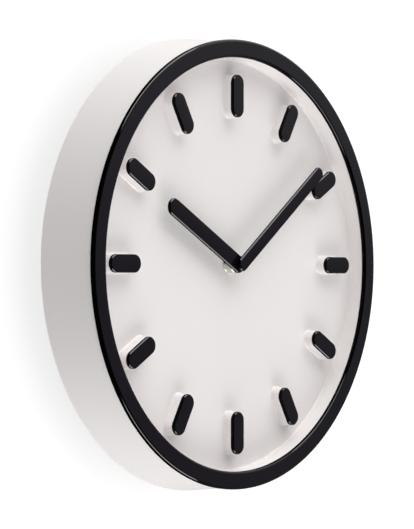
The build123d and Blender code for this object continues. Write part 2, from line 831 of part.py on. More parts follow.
turned_wheel(
    "setting_knob",
    setting_at,
    arbor=(
        (arbor_radius, housing_front_wall - pivot_depth + pivot_gap, hand_layer),
        (setting_arbor_radius, hand_layer, knob_front),
    ),
    gears=(
        (setting_teeth, cannon_module, setting_phase, pinion_tooth, hand_layer, wheel_thickness),
        (knob_ridges, knob_module, 0, knob_tooth, knob_front, knob_thickness),
    ),
)

# Going train, from the centre wheel back to the rotor
turned_wheel(
    "centre_wheel",
    centre_at,
    arbor=(),
    gears=((centre_teeth, centre_module, centre_phase, wheel_tooth, centre_layer, wheel_thickness),),
    bores=((clutch_radius + pivot_gap, centre_layer, centre_layer + wheel_thickness),),
)
third_shoulder = centre_layer - post_top_gap / 2
bridge_front = bridge_layer - post_top_gap / 2
turned_wheel(
    "third_wheel",
    third_at,
    arbor=(
        (pivot_radius, centre_layer - pivot_depth, third_shoulder),
        (arbor_radius, third_shoulder, bridge_front),
        (pivot_radius, bridge_front, bridge_layer + bridge_thickness),
    ),
    gears=(
        (leaf_count, centre_module, 0, pinion_tooth, centre_layer, wheel_thickness),
        (third_teeth, third_module, third_phase, wheel_tooth, third_layer, wheel_thickness),
    ),
)
rear_pivot_end = boss_front + pivot_depth - pivot_gap
rear_shoulder = boss_front - post_top_gap / 2
turned_wheel(
    "seconds_wheel",
    centre_at,
    arbor=(
        (front_pivot, clutch_end - pivot_depth + post_top_gap, clutch_end + post_top_gap / 2),
        (arbor_radius, clutch_end + post_top_gap / 2, rear_shoulder),
        (pivot_radius, rear_shoulder, rear_pivot_end),
    ),
    gears=(
        (leaf_count, third_module, 0, pinion_tooth, third_layer, wheel_thickness),
        (seconds_teeth, seconds_module, seconds_phase, wheel_tooth, seconds_layer, wheel_thickness),
    ),
)
bridge_rear = bridge_layer + bridge_thickness
turned_wheel(
    "intermediate_wheel",
    intermediate_at,
    arbor=(
        (pivot_radius, bridge_layer, bridge_rear + post_top_gap / 2),
        (arbor_radius, bridge_rear + post_top_gap / 2, rear_shoulder),
        (pivot_radius, rear_shoulder, rear_pivot_end),
    ),
    gears=(
        (leaf_count, seconds_module, 0, pinion_tooth, seconds_layer, wheel_thickness),
        (
            intermediate_teeth,
            intermediate_module,
            intermediate_phase,
            wheel_tooth,
            intermediate_layer,
            wheel_thickness,
        ),
    ),
)
turned_wheel(
    "rotor",
    rotor_at,
    arbor=(
        (pivot_radius, bridge_layer, bridge_rear + post_top_gap / 2),
        (arbor_radius, bridge_rear + post_top_gap / 2, rotor_layer),
        (magnet_radius, rotor_layer, rotor_layer + magnet_thickness),
        (arbor_radius, rotor_layer + magnet_thickness, rear_shoulder),
        (pivot_radius, rear_shoulder, rear_pivot_end),
    ),
    gears=((leaf_count, intermediate_module, 0, pinion_tooth, intermediate_layer, wheel_thickness),),
)

# Step motor: stator plate, core, bobbin and winding
with BuildPart() as stator:
    with BuildSketch(level(stator_layer)):
        with Locations((0, (stator_bar_low + stator_bar_top) / 2)):
            Rectangle(2 * stator_leg_middle + stator_leg_width, stator_bar_width)
        for side in (-1, 1):
            with Locations((side * stator_leg_middle, (stator_bar_low + stator_top) / 2)):
                Rectangle(stator_leg_width, stator_top - stator_bar_low)
        with Locations(rotor_at):
            Circle(stator_ring_radius)
            Circle(stator_bore, mode=Mode.SUBTRACT)
        with Locations((rotor_at[0], rotor_at[1])):
            Rectangle(stator_slit, coil_axis, align=(Align.CENTER, Align.MIN), mode=Mode.SUBTRACT)
    extrude(amount=-stator_thickness)
save(stator.part, "stator")

with BuildPart() as coil_core:
    with BuildSketch(level(core_layer)):
        with Locations((0, coil_axis)):
            Rectangle(core_length, core_width)
    extrude(amount=-stator_thickness)
save(coil_core.part, "coil_core")

coil_centre = (0, coil_layer - movement_front, coil_axis)
coil_plane = Plane(origin=coil_centre, x_dir=(0, 1, 0), z_dir=(1, 0, 0))  # depth across, height up
bobbin_depth = stator_thickness + 2 * bobbin_wall
bobbin_width = core_width + 2 * bobbin_wall
with BuildPart() as coil_bobbin:
    with BuildSketch(coil_plane):
        Rectangle(bobbin_depth, bobbin_width)
    extrude(amount=coil_length / 2, both=True)
    for end in (-1, 1):
        with BuildSketch(coil_plane.offset(end * (coil_length - bobbin_flange) / 2)):
            RectangleRounded(bobbin_flange_depth, bobbin_flange_width, winding_corner)
        extrude(amount=bobbin_flange / 2, both=True)
    with BuildSketch(coil_plane):
        Rectangle(stator_thickness + 2 * coil_gap, core_width + 2 * coil_gap)
    extrude(amount=coil_length / 2, both=True, mode=Mode.SUBTRACT)
save(coil_bobbin.part, "coil_bobbin")

with BuildPart() as coil_winding:
    with BuildSketch(coil_plane):
        RectangleRounded(winding_depth, winding_width, winding_corner)
        Rectangle(bobbin_depth + 2 * coil_gap, bobbin_width + 2 * coil_gap, mode=Mode.SUBTRACT)
    extrude(amount=coil_length / 2 - bobbin_flange - coil_gap, both=True)
save(coil_winding.part, "coil_winding")

# Circuit board with its sealed chip, and the crystal can
chip_at = (board_left + chip_from_left, chip_above_axis)
crystal_at = (chip_at[0], chip_at[1] + chip_radius + crystal_radius + crystal_length / 2)
with BuildPart() as circuit_board:
    with BuildSketch(level(board_layer)):
        with Locations(((board_left + board_right) / 2, (board_bottom + board_top) / 2)):
            Rectangle(board_right - board_left, board_top - board_bottom)
    extrude(amount=-board_thickness)
    with BuildSketch(level(board_rear)):
        with Locations(chip_at):
            Circle(chip_radius)
    extrude(amount=-chip_height, taper=45)
save(circuit_board.part, "circuit_board")

crystal_foot = (crystal_at[0], board_rear + crystal_radius - movement_front, crystal_at[1])
with BuildPart() as quartz_crystal:
    with BuildSketch(Plane(origin=crystal_foot, x_dir=(1, 0, 0), z_dir=(0, 0, 1))):
        Circle(crystal_radius)
    extrude(amount=crystal_length / 2, both=True)
save(quartz_crystal.part, "quartz_crystal")

# AA cell, positive end to the right seen from the front
cell_origin = (cell_left, cell_layer - movement_front, cell_axis)
cell_plane = Plane(origin=cell_origin, x_dir=(0, 1, 0), z_dir=(1, 0, 0))
with BuildPart() as cell:
    with BuildSketch(cell_plane):
        Circle(cell_radius)
    extrude(amount=cell_body)
    chamfer(cell.edges().filter_by(GeomType.CIRCLE), cell_edge)
    with BuildSketch(cell_plane.offset(cell_body)):
        Circle(cell_nub_radius)
    extrude(amount=cell_nub)
save(cell.part, "aa_cell")

# Contacts: a flat plate at the nub, a bowed leaf at the flat end, each with a tail to the board
contact_front = cell_layer - contact_width / 2
tail_front = board_rear + fit_gap / 2
tail_bottom = cell_axis
positive_tail_top = board_bottom + pad_land
negative_tail_low = cover_bottom + housing_side_wall + fit_gap
with BuildPart() as contact_positive:
    with BuildSketch(level(contact_front)):
        with Locations((inner_half - contact_thickness / 2, cell_axis)):
            Rectangle(contact_thickness, plate_tall)
    extrude(amount=-contact_width)
    with BuildSketch(level(tail_front)):
        with Locations((inner_half - contact_thickness / 2, (tail_bottom + positive_tail_top) / 2)):
            Rectangle(contact_thickness, positive_tail_top - tail_bottom)
    extrude(amount=-tail_depth)
    with BuildSketch(level(board_rear)):
        with Locations((inner_half, positive_tail_top)):
            Rectangle(pad_reach, pad_land, align=(Align.MAX, Align.MAX))
    extrude(amount=-contact_thickness)
save(contact_positive.part, "contact_positive")

leaf_foot = -inner_half + contact_thickness
leaf_crown = cell_left - contact_touch
with BuildPart() as contact_negative:
    with BuildSketch(level(contact_front)):
        with Locations((-inner_half + contact_thickness / 2, cell_axis)):
            Rectangle(contact_thickness, 2 * (leaf_half_span + leaf_margin))
        with BuildLine():
            ThreePointArc(
                (leaf_foot - contact_thickness / 2, cell_axis + leaf_half_span),
                (leaf_crown, cell_axis),
                (leaf_foot - contact_thickness / 2, cell_axis - leaf_half_span),
            )
            Line(
                (leaf_foot - contact_thickness / 2, cell_axis - leaf_half_span),
                (leaf_foot - contact_thickness / 2, cell_axis - leaf_half_span + 2 * contact_thickness),
            )
            ThreePointArc(
                (leaf_foot - contact_thickness / 2, cell_axis - leaf_half_span + 2 * contact_thickness),
                (leaf_crown - contact_thickness, cell_axis),
                (leaf_foot - contact_thickness / 2, cell_axis + leaf_half_span - 2 * contact_thickness),
            )
            Line(
                (leaf_foot - contact_thickness / 2, cell_axis + leaf_half_span - 2 * contact_thickness),
                (leaf_foot - contact_thickness / 2, cell_axis + leaf_half_span),
            )
        make_face()
    extrude(amount=-contact_width)
    with BuildSketch(level(tail_front)):
        with Locations((-inner_half, cell_axis)):
            Rectangle(
                contact_thickness,
                negative_tail_low + contact_thickness - cell_axis,
                align=(Align.MIN, Align.MIN),
            )
        with Locations((-inner_half, negative_tail_low)):
            Rectangle(
                inner_half + board_left + negative_land, contact_thickness, align=(Align.MIN, Align.MIN)
            )
    extrude(amount=-tail_depth)
    with BuildSketch(level(board_rear)):
        with Locations((board_left + negative_land, negative_tail_low)):
            Rectangle(negative_land, pad_land, align=(Align.MAX, Align.MIN))
    extrude(amount=-contact_thickness)
save(contact_negative.part, "contact_negative")

# Hanger: a steel keyhole plate on the case's pad, with its two screws
with BuildPart() as hanger_plate:
    with BuildSketch(front_plane(hanger_recess)):
        with Locations((0, hanger_screw_height)):
            RectangleRounded(hanger_width, hanger_tall, pad_boss_radius)
        with Locations((0, keyhole_height)):
            Circle(keyhole_radius, mode=Mode.SUBTRACT)
        with Locations((0, keyhole_height + keyhole_rise / 2)):
            SlotCenterToCenter(keyhole_rise, keyhole_slot, rotation=90, mode=Mode.SUBTRACT)
        with Locations((0, hanger_screw_height)):
            with GridLocations(hanger_screw_spacing, 0, 2, 1):
                Circle(screw_radius + post_gap, mode=Mode.SUBTRACT)
    extrude(amount=hanger_thickness)
save(hanger_plate.part, "hanger_plate")

with BuildPart() as hanger_screws:
    with BuildSketch(front_plane(hanger_recess)):
        with Locations((0, hanger_screw_height)):
            with GridLocations(hanger_screw_spacing, 0, 2, 1):
                Circle(screw_head_radius)
    extrude(amount=-screw_head_height)
    with BuildSketch(front_plane(hanger_recess)):
        with Locations((0, hanger_screw_height)):
            with GridLocations(hanger_screw_spacing, 0, 2, 1):
                Circle(screw_radius)
    extrude(amount=hanger_thickness + pad_thickness + pad_boss_height - screw_clearance)
save(hanger_screws.part, "hanger_screws")
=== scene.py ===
import math
import bmesh
import bpy
import numpy as np
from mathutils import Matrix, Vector


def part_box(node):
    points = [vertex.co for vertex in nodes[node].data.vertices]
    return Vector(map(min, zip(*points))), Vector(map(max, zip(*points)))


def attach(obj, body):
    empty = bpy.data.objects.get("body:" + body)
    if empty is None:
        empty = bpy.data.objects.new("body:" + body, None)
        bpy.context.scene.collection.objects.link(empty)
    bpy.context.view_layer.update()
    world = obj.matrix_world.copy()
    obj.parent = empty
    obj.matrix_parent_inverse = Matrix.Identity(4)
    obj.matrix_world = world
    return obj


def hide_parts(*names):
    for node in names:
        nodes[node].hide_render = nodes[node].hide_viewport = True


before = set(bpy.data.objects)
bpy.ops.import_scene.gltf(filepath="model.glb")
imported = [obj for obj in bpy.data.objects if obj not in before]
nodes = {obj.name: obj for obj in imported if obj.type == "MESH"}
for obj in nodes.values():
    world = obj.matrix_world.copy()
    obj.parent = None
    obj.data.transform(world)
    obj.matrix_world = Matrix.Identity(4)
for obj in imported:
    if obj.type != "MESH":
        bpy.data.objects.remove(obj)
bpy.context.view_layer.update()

# lengths are in metres; a height is the distance from the wall towards the viewer, so y = -height
mm = 0.001
mergeDistance = 2e-7  # points of a new piece that are closer than this become one
sharpAngle = 40  # degrees between two faces of a new piece, past which their edge stays sharp


def frontOf(node):
    return -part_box(node)[0].y


def backOf(node):
    return -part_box(node)[1].y


# surfaces from grids

# the black finish paints rows tagged onEdge and onSide near black: painted shade, standing in for the dark
# reflections that these edges and sides catch
onFace, onEdge, onSide = 0, 1, 2  # values of the rim attribute, which leads the black finish


def tagged(points, value):
    # a third column for a profile, which says where on the piece each of its points lies
    return np.column_stack([points, np.full(len(points), float(value))])


def arc(centreX, centreY, radius, start, end, count):
    # points of a circle's arc, angles in degrees
    turn = np.radians(np.linspace(start, end, count))
    return np.stack([centreX + radius * np.cos(turn), centreY + radius * np.sin(turn)], axis=1)


def boxSection(inner, outer, low, high):
    # a rectangle of (radius, travel): turned, it is a tube, or a drum where the inner radius is 0
    return np.array([[inner, low], [outer, low], [outer, high], [inner, high]])


def gridFaces(rows, columns, wrapRows):
    # one quad between each pair of neighbouring rows and columns; the columns always go all the way round
    row, column = np.meshgrid(
        np.arange(rows if wrapRows else rows - 1),
        np.arange(columns),
        indexing="ij",
    )
    nextRow, nextColumn = (row + 1) % rows, (column + 1) % columns
    corners = [
        row * columns + column,
        row * columns + nextColumn,
        nextRow * columns + nextColumn,
        nextRow * columns + column,
    ]
    return np.stack(corners, axis=-1).reshape(-1, 4)


def turned(profile, segments, axisPoint=(0, 0, 0), along="y", start=0.0):
    # a profile of (radius, travel) turned about an axis: the travel runs to the viewer, or to the right;
    # its last row joins its first, unless the profile starts on the axis
    turn = math.radians(start) + np.linspace(0, 2 * np.pi, segments, endpoint=False)
    radius, travel = profile[:, 0, None], profile[:, 1, None] + 0 * turn
    across, up = radius * np.cos(turn), radius * np.sin(turn)
    order = (across, -travel, up) if along == "y" else (travel, across, up)
    rim = profile[:, 2] if profile.shape[1] > 2 else None
    return np.stack(order, axis=-1) + np.array(axisPoint), bool(profile[0, 0] > 0), rim


def stadium(length, width, perEnd=28, perSide=10):
    # outline of a bar with round ends and its outward normals: two half circles joined by straight sides
    half = (length - width) / 2
    ends = np.radians(np.linspace(-90, 90, perEnd))
    cap = np.stack([np.cos(ends), np.sin(ends)], axis=1)
    side = np.linspace(half, -half, perSide + 2)[1:-1]
    up = np.tile([0.0, 1.0], (perSide, 1))
    points = np.concatenate([
        cap * width / 2 + [half, 0],
        np.stack([side, 0 * side + width / 2], axis=1),
        -cap * width / 2 - [half, 0],
        np.stack([-side, 0 * side - width / 2], axis=1),
    ])
    return points, np.concatenate([cap, up, -cap, -up])


def bar(length, width, profile, middle, bearing):
    # a profile of (inset, height) carried round a stadium: each row is the outline moved in by the inset
    outline, normal = stadium(length, width)
    flat = outline[None] - profile[:, 0, None, None] * normal[None]
    turn = math.radians(bearing)
    across = middle[0] + flat[..., 0] * math.cos(turn) - flat[..., 1] * math.sin(turn)
    up = middle[1] + flat[..., 0] * math.sin(turn) + flat[..., 1] * math.cos(turn)
    height = np.broadcast_to(profile[:, 1, None], across.shape)
    return np.stack([across, -height, up], axis=-1), False, profile[:, 2]


def meshFrom(name, grids):
    # joins the grids to one mesh, closes seams and poles, turns the faces outwards
    bm = bmesh.new()
    for points, wrapRows, rim in grids:
        mesh = bpy.data.meshes.new(name)
        rows, columns = points.shape[:2]
        mesh.from_pydata(points.reshape(-1, 3), [], gridFaces(rows, columns, wrapRows))
        if rim is not None:
            values = np.repeat(rim, columns)
            mesh.attributes.new("rim", "FLOAT", "POINT").data.foreach_set("value", values)
        bm.from_mesh(mesh)
        bpy.data.meshes.remove(mesh)
    bmesh.ops.remove_doubles(bm, verts=bm.verts, dist=mergeDistance)
    bmesh.ops.recalc_face_normals(bm, faces=bm.faces)
    mesh = bpy.data.meshes.new(name)
    bm.to_mesh(mesh)
    bm.free()
    return mesh


def pieceFrom(name, grids, body, replaced, sharp=sharpAngle):
    # one piece from its grids, smooth but for its sharp edges, in the place of its CAD nodes
    mesh = meshFrom(name, grids)
    mesh.polygons.foreach_set("use_smooth", np.ones(len(mesh.polygons), dtype=bool))
    mesh.set_sharp_from_angle(angle=math.radians(sharp))
    piece = bpy.data.objects.new(name, mesh)
    bpy.context.scene.collection.objects.link(piece)
    settle = piece.modifiers.new("settleNormals", "WEIGHTED_NORMAL")
    settle.keep_sharp = True
    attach(piece, body)
    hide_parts(*replaced)
    return piece


# bezel: a flat ring with full, rounded edges, and six posts behind it for its screws;
# matte and steep are the degrees of an edge's arc that still look like the face and the side

bezel = dict(
    width=13.95 * mm, outerEdge=2.25 * mm, innerEdge=1.65 * mm, heel=0.2 * mm,
    matte=12, faceStep=1, steep=24, sideStep=4, fewPoints=4, morePoints=9, segments=256,
)
post = dict(radius=3.45 * mm, bore=1.55 * mm, sunk=0.2 * mm, segments=32)


def bezelPosts(spec, seat):
    # the tubes that the screws bite into, each a closed section turned about its screw's axis
    low, high = backOf("bezel_ring"), seat + spec["sunk"]
    section = tagged(boxSection(spec["bore"], spec["radius"], low, high), onSide)
    return [turned(section, spec["segments"], (x, 0, z)) for x, z in bezelScrewPlaces(screw)]


def bezelRing(spec):
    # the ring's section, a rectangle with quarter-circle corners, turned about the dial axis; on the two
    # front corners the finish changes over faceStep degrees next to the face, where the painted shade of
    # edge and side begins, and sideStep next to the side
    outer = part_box("bezel_ring")[1].x
    inner = outer - spec["width"]
    front, seat = frontOf("bezel_ring"), frontOf("case_shell")
    heel, matte, steep = spec["heel"], spec["matte"], spec["steep"]
    faceStep, sideStep = spec["faceStep"], spec["sideStep"]
    few, more = spec["fewPoints"], spec["morePoints"]
    wide, slim = spec["outerEdge"], spec["innerEdge"]
    section = np.concatenate([
        tagged(arc(outer - heel, seat + heel, heel, -90, 0, few), onSide),
        tagged(arc(outer - wide, front - wide, wide, 0, steep, few), onSide),
        tagged(arc(outer - wide, front - wide, wide, steep + sideStep, 90 - matte, more), onEdge),
        tagged(arc(outer - wide, front - wide, wide, 90 - matte + faceStep, 90, few), onFace),
        tagged(arc(inner + slim, front - slim, slim, 90, 90 + matte - faceStep, few), onFace),
        tagged(arc(inner + slim, front - slim, slim, 90 + matte, 180 - steep - sideStep, more), onEdge),
        tagged(arc(inner + slim, front - slim, slim, 180 - steep, 180, few), onSide),
        tagged(arc(inner + heel, seat + heel, heel, 180, 270, few), onSide),
    ])
    grids = [turned(section, spec["segments"]), *bezelPosts(post, seat)]
    return pieceFrom("bezelRing", grids, "case", ["bezel_ring"])


# hour marks: on each plinth a cap with a chamfered edge, held by two square pegs

hourStep = 360 / 12  # degrees from one mark to the next
mark = dict(
    length=33.6 * mm, width=13.7 * mm, circle=132.7 * mm, cap=2.7 * mm,
    edge=0.6 * mm, heel=0.12 * mm, crown=0.05 * mm,
)
peg = dict(spacing=18 * mm, width=3 * mm, sunk=0.2 * mm)


def barProfile(spec, low, front):
    # from the middle of the underside up the side, over a 45 degree chamfer whose corners have the radius
    # heel, to the middle of the top, which rises by crown on a parabola; side and shoulder share the lower
    # corner, where the finish changes
    heel, crown, topPoints = spec["heel"], spec["crown"], 6
    half, high = spec["width"] / 2, front - crown
    start = spec["edge"] + heel * math.tan(math.radians(45 / 2))
    across = np.linspace(start, half, topPoints + 1)[1:]
    lift = crown * (1 - ((half - across) / (half - start)) ** 2)
    under = [[half, low], [heel * 3, low]]
    foot = arc(heel, low + heel, heel, 270, 180, 4)
    side = arc(heel, high - start, heel, 180, 165, 2)
    shoulder = np.concatenate([
        arc(heel, high - start, heel, 150, 135, 2),
        arc(start, high - heel, heel, 135, 90, 4),
    ])
    top = np.stack([across, high + lift], axis=1)
    # the shoulder and side rows get the black finish's painted shade; the top keeps the face colour
    return np.concatenate([
        tagged(np.concatenate([under, foot, side]), onSide),
        tagged(shoulder, onEdge),
        tagged(top, onFace),
    ])


def pegsUnder(spec, circle, bearing, seat):
    # two square pegs in line with the mark, each a drum of four sides turned about its own axis
    low, high = backOf("hour_marker_12"), seat + spec["sunk"]
    section = tagged(boxSection(0, spec["width"] / math.sqrt(2), low, high), onSide)
    turn = math.radians(bearing)
    reaches = (circle - spec["spacing"] / 2, circle + spec["spacing"] / 2)
    places = [(reach * math.cos(turn), 0, reach * math.sin(turn)) for reach in reaches]
    return [turned(section, 4, place, "y", bearing + 45) for place in places]


def hourMarks(spec):
    # the cap's profile carried round a stadium whose long axis points to the dial's centre
    front = frontOf("hour_marker_12")
    seat = front - spec["cap"]
    profile = barProfile(spec, seat, front)
    marks = []
    for hour in range(1, 13):
        bearing = 90 - hourStep * hour
        turn = math.radians(bearing)
        middle = (spec["circle"] * math.cos(turn), spec["circle"] * math.sin(turn))
        grids = [bar(spec["length"], spec["width"], profile, middle, bearing)]
        grids += pegsUnder(peg, spec["circle"], bearing, seat)
        name, node = f"hourMark{hour:02d}", f"hour_marker_{hour:02d}"
        marks.append(pieceFrom(name, grids, "case", [node]))
    return marks


# hands: flat bars with round ends; a bearing is in degrees from the right, upwards, so it is 90 less the
# angle that the hand has turned from the twelve

hourHand = dict(
    reach=89.1 * mm, width=13.4 * mm, thick=2.4 * mm, bearing=90 - 298.9,
    edge=0.7 * mm, heel=0.12 * mm, crown=0.04 * mm,
)
minuteHand = dict(
    reach=124.75 * mm, width=10.7 * mm, thick=2.3 * mm, bearing=90 - 53.1,
    edge=0.7 * mm, heel=0.12 * mm, crown=0.04 * mm,
)
minuteBoss = dict(radius=4 * mm, bore=1.52 * mm, gap=0.8 * mm, sunk=0.2 * mm, segments=64)
hourBore = dict(radius=2.52 * mm, past=1 * mm, segments=64)


def handBar(name, spec, body, node, extra=()):
    # the hand's profile carried round a stadium from the axis to the tip
    front = frontOf(node)
    profile = barProfile(spec, front - spec["thick"], front)
    turn = math.radians(spec["bearing"])
    middle = (spec["reach"] / 2 * math.cos(turn), spec["reach"] / 2 * math.sin(turn))
    grid = bar(spec["reach"] + spec["width"], spec["width"], profile, middle, spec["bearing"])
    return pieceFrom(name, [grid, *extra], body, [node])


def bossUnder(spec):
    # a low sleeve under the minute hand, a closed section turned about the dial axis
    low = frontOf("hour_hand") + spec["gap"]
    high = frontOf("minute_hand") - minuteHand["thick"] + spec["sunk"]
    return turned(tagged(boxSection(spec["bore"], spec["radius"], low, high), onSide), spec["segments"])


def boreHub(piece, node, spec):
    # cuts the hole that the hour tube fills: a drum about the dial axis is taken out of the hand
    low, high = backOf(node) - spec["past"], frontOf(node) + spec["past"]
    mesh = meshFrom("hubDrum", [turned(boxSection(0, spec["radius"], low, high), spec["segments"])])
    drum = bpy.data.objects.new("hubDrum", mesh)
    bpy.context.scene.collection.objects.link(drum)
    cut = piece.modifiers.new("cut", "BOOLEAN")
    cut.operation = "DIFFERENCE"
    cut.solver = "EXACT"
    cut.object = drum
    settle = piece.modifiers["settleNormals"]
    settle.show_viewport = False
    graph = bpy.context.evaluated_depsgraph_get()
    piece.data = bpy.data.meshes.new_from_object(piece.evaluated_get(graph))
    settle.show_viewport = True
    piece.modifiers.remove(cut)
    piece.data.set_sharp_from_angle(angle=math.radians(sharpAngle))
    bpy.data.objects.remove(drum)
    bpy.data.meshes.remove(mesh)


# AA cell: a plain sleeve over a steel can

cell = dict(
    radius=7.1 * mm, lip=0.5 * mm, lipWrap=160, turnIn=1 * mm, fold=0.35 * mm,
    can=6.6 * mm, canInset=0.9 * mm, canEnd=0.45 * mm, dish=0.4 * mm, base=4.6 * mm, baseSlope=0.5 * mm,
    nub=2.6 * mm, nubLong=1.2 * mm, nubSlope=1.2 * mm, nubEdge=0.4 * mm, nubFoot=0.2 * mm, segments=72,
)


def cellPieces(spec):
    # both sections are turned about the cell's own axis, which runs to the right
    low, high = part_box("aa_cell")
    axisPoint = (0, (low.y + high.y) / 2, (low.z + high.z) / 2)
    left, right = low.x, high.x - spec["nubLong"]
    radius, lip, wrap = spec["radius"], spec["lip"], spec["lipWrap"]
    turnIn, fold = spec["can"] - spec["turnIn"], spec["fold"]
    sleeve = np.concatenate([
        [[turnIn, left + fold]],
        arc(radius - lip, left + lip, lip, 360 - wrap, 360, 8),
        arc(radius - lip, right - lip, lip, 0, wrap, 8),
        [[turnIn, right - fold]],
    ])
    can, canEnd, dish = spec["can"] - spec["canInset"], spec["canEnd"], spec["dish"]
    base, nub, edge = spec["base"], spec["nub"], spec["nubEdge"]
    steel = np.concatenate([
        [[0, left], [base, left], [base + spec["baseSlope"], left + dish], [can, left + canEnd]],
        [[can, right - canEnd], [nub + spec["nubSlope"], right - dish]],
        arc(nub + edge, right + spec["nubFoot"], edge, 270, 180, 4),
        arc(nub - edge, high.x - edge, edge, 0, 90, 5),
        [[0, high.x]],
    ])
    sleeveGrid = turned(sleeve, spec["segments"], axisPoint, "x")
    canGrid = turned(steel, spec["segments"], axisPoint, "x")
    return [
        pieceFrom("cellSleeve", [sleeveGrid], "case", ["aa_cell"]),
        pieceFrom("cellCan", [canGrid], "case", ["aa_cell"]),
    ]


# coil winding: one layer of wire in view, laid as a helix over the bobbin

winding = dict(
    corner=1.5 * mm, perCorner=9, wire=0.24 * mm, roundness=0.96, wall=1.2 * mm,
    turns=37, perTurn=8, sharp=75,
)


def windingTurns(spec):
    # a rounded rectangle carried along the coil; the inset at each point follows a half circle across the
    # wire, whose place along the coil moves on by one wire for each way round
    low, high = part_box("coil_winding")
    corner, turns, perCorner = spec["corner"], spec["turns"], spec["perCorner"]
    normal = np.concatenate([arc(0, 0, 1, start, start + 90, perCorner) for start in (0, 90, 180, 270)])
    quarter = np.repeat([[1, 1], [-1, 1], [-1, -1], [1, -1]], perCorner, axis=0)
    half = np.array([(high.y - low.y) / 2, (high.z - low.z) / 2]) - corner
    outline = corner * normal + quarter * half
    share = np.linspace(0, 1, turns * spec["perTurn"] + 1)
    phase = share[:, None] * turns - np.arange(len(outline)) / len(outline)
    across = 2 * (phase % 1) - 1
    inset = spec["wire"] * (1 - np.sqrt(1 - (spec["roundness"] * across) ** 2))
    inner = np.full((1, len(outline)), spec["wall"])
    inset = np.concatenate([inner, inset, inner])
    travel = low.x + (high.x - low.x) * np.concatenate([[0], share, [1]])
    flat = outline[None] - inset[..., None] * normal[None]
    middle = (low + high) / 2
    alongX = np.broadcast_to(travel[:, None], inset.shape)
    points = np.stack([alongX, middle.y + flat[..., 0], middle.z + flat[..., 1]], axis=-1)
    grids = [(points, True, None)]
    return pieceFrom("windingTurns", grids, "case", ["coil_winding"], spec["sharp"])


# screws: domed heads with a cross recess; reach, endFade and the two shares are parts of the head's radius

screw = dict(
    bezelHead=3.15 * mm, hangerHead=2.8 * mm, tall=1.6 * mm, shank=1.5 * mm, dome=0.35 * mm,
    cross=0.45 * mm, depth=0.8 * mm, wallFade=0.15 * mm, reach=0.62, endFade=0.12,
    rings=22, ringsEnd=0.94, rimShare=0.98, segments=96, bezelCount=6, bezelFirst=30,
)


def screwGrids(spec, places, headRadius, headLow, end):
    # height of the head over radius and angle: a dome, less a cross whose depth fades out at its edges
    turn = np.linspace(0, 2 * np.pi, spec["segments"], endpoint=False)
    rings = np.linspace(0, spec["ringsEnd"], spec["rings"])
    share = np.concatenate([rings, [spec["rimShare"], 1.0]])[:, None]
    across, up = share * np.cos(turn), share * np.sin(turn)
    edge = np.minimum(np.abs(across), np.abs(up)) * headRadius
    wall = np.clip((spec["cross"] - edge) / spec["wallFade"] + 0.5, 0, 1)
    inside = np.clip((spec["reach"] - share) / spec["endFade"], 0, 1)
    fall = headLow + spec["dome"] * share**2 + spec["depth"] * wall * inside
    face = np.stack([across * headRadius, -fall, up * headRadius], axis=-1)
    headHigh, shank = headLow + spec["tall"], spec["shank"]
    stem = np.array([[headRadius, headHigh], [shank, headHigh], [shank, end], [0, end]])
    whole = np.concatenate([face, turned(stem, spec["segments"])[0]])
    return [(whole + np.array([x, 0, z]), False, None) for x, z in places]


def bezelScrewPlaces(spec):
    # places on a circle, of which the second is at the top
    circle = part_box("bezel_screws")[1].z - spec["bezelHead"]
    turns = np.radians(spec["bezelFirst"] + 360 / spec["bezelCount"] * np.arange(spec["bezelCount"]))
    return [(circle * math.cos(turn), circle * math.sin(turn)) for turn in turns]


def screwPieces(spec):
    low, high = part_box("bezel_screws")
    bezelSet = screwGrids(spec, bezelScrewPlaces(spec), spec["bezelHead"], -high.y, -low.y)
    low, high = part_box("hanger_screws")
    headRadius, middle = spec["hangerHead"], (low.z + high.z) / 2
    apart = [(low.x + headRadius, middle), (high.x - headRadius, middle)]
    hangerSet = screwGrids(spec, apart, headRadius, -high.y, -low.y)
    return [
        pieceFrom("bezelScrews", bezelSet, "case", ["bezel_screws"]),
        pieceFrom("hangerScrews", hangerSet, "case", ["hanger_screws"]),
    ]


bezelPiece = bezelRing(bezel)
markPieces = hourMarks(mark)
hourPiece = handBar("hourHandBar", hourHand, "hour_hand", "hour_hand")
boreHub(hourPiece, "hour_hand", hourBore)
minutePiece = handBar("minuteHandBar", minuteHand, "minute_hand", "minute_hand", [bossUnder(minuteBoss)])
cellSleeve, cellCan = cellPieces(cell)
windingPiece = windingTurns(winding)
screws = screwPieces(screw)
newPieces = [bezelPiece, *markPieces, hourPiece, minutePiece, cellSleeve, cellCan, windingPiece, *screws]
print("pieces made:", len(newPieces))


# smooth shading of the CAD nodes

cadShading = dict(weld=1e-6, split=32)


def smoothNode(node, spec):
    # joins the loose triangles, splits true edges, and lets large faces rule the normals
    node.data.polygons.foreach_set("use_smooth", np.ones(len(node.data.polygons), dtype=bool))
    weld = node.modifiers.new("weld", "WELD")
    weld.merge_threshold = spec["weld"]
    split = node.modifiers.new("split", "EDGE_SPLIT")
    split.split_angle = math.radians(spec["split"])
    settle = node.modifiers.new("settleNormals", "WEIGHTED_NORMAL")
    settle.keep_sharp = True


for node in nodes.values():
    smoothNode(node, cadShading)
print("CAD nodes smoothed")


# shared surface effects


def newGroup(name, inputs, outputs):
    group = bpy.data.node_groups.new(name, "ShaderNodeTree")
    for label, kind in inputs:
        group.interface.new_socket(name=label, in_out="INPUT", socket_type=kind)
    for label, kind in outputs:
        group.interface.new_socket(name=label, in_out="OUTPUT", socket_type=kind)
    return group, group.nodes.new("NodeGroupInput"), group.nodes.new("NodeGroupOutput")


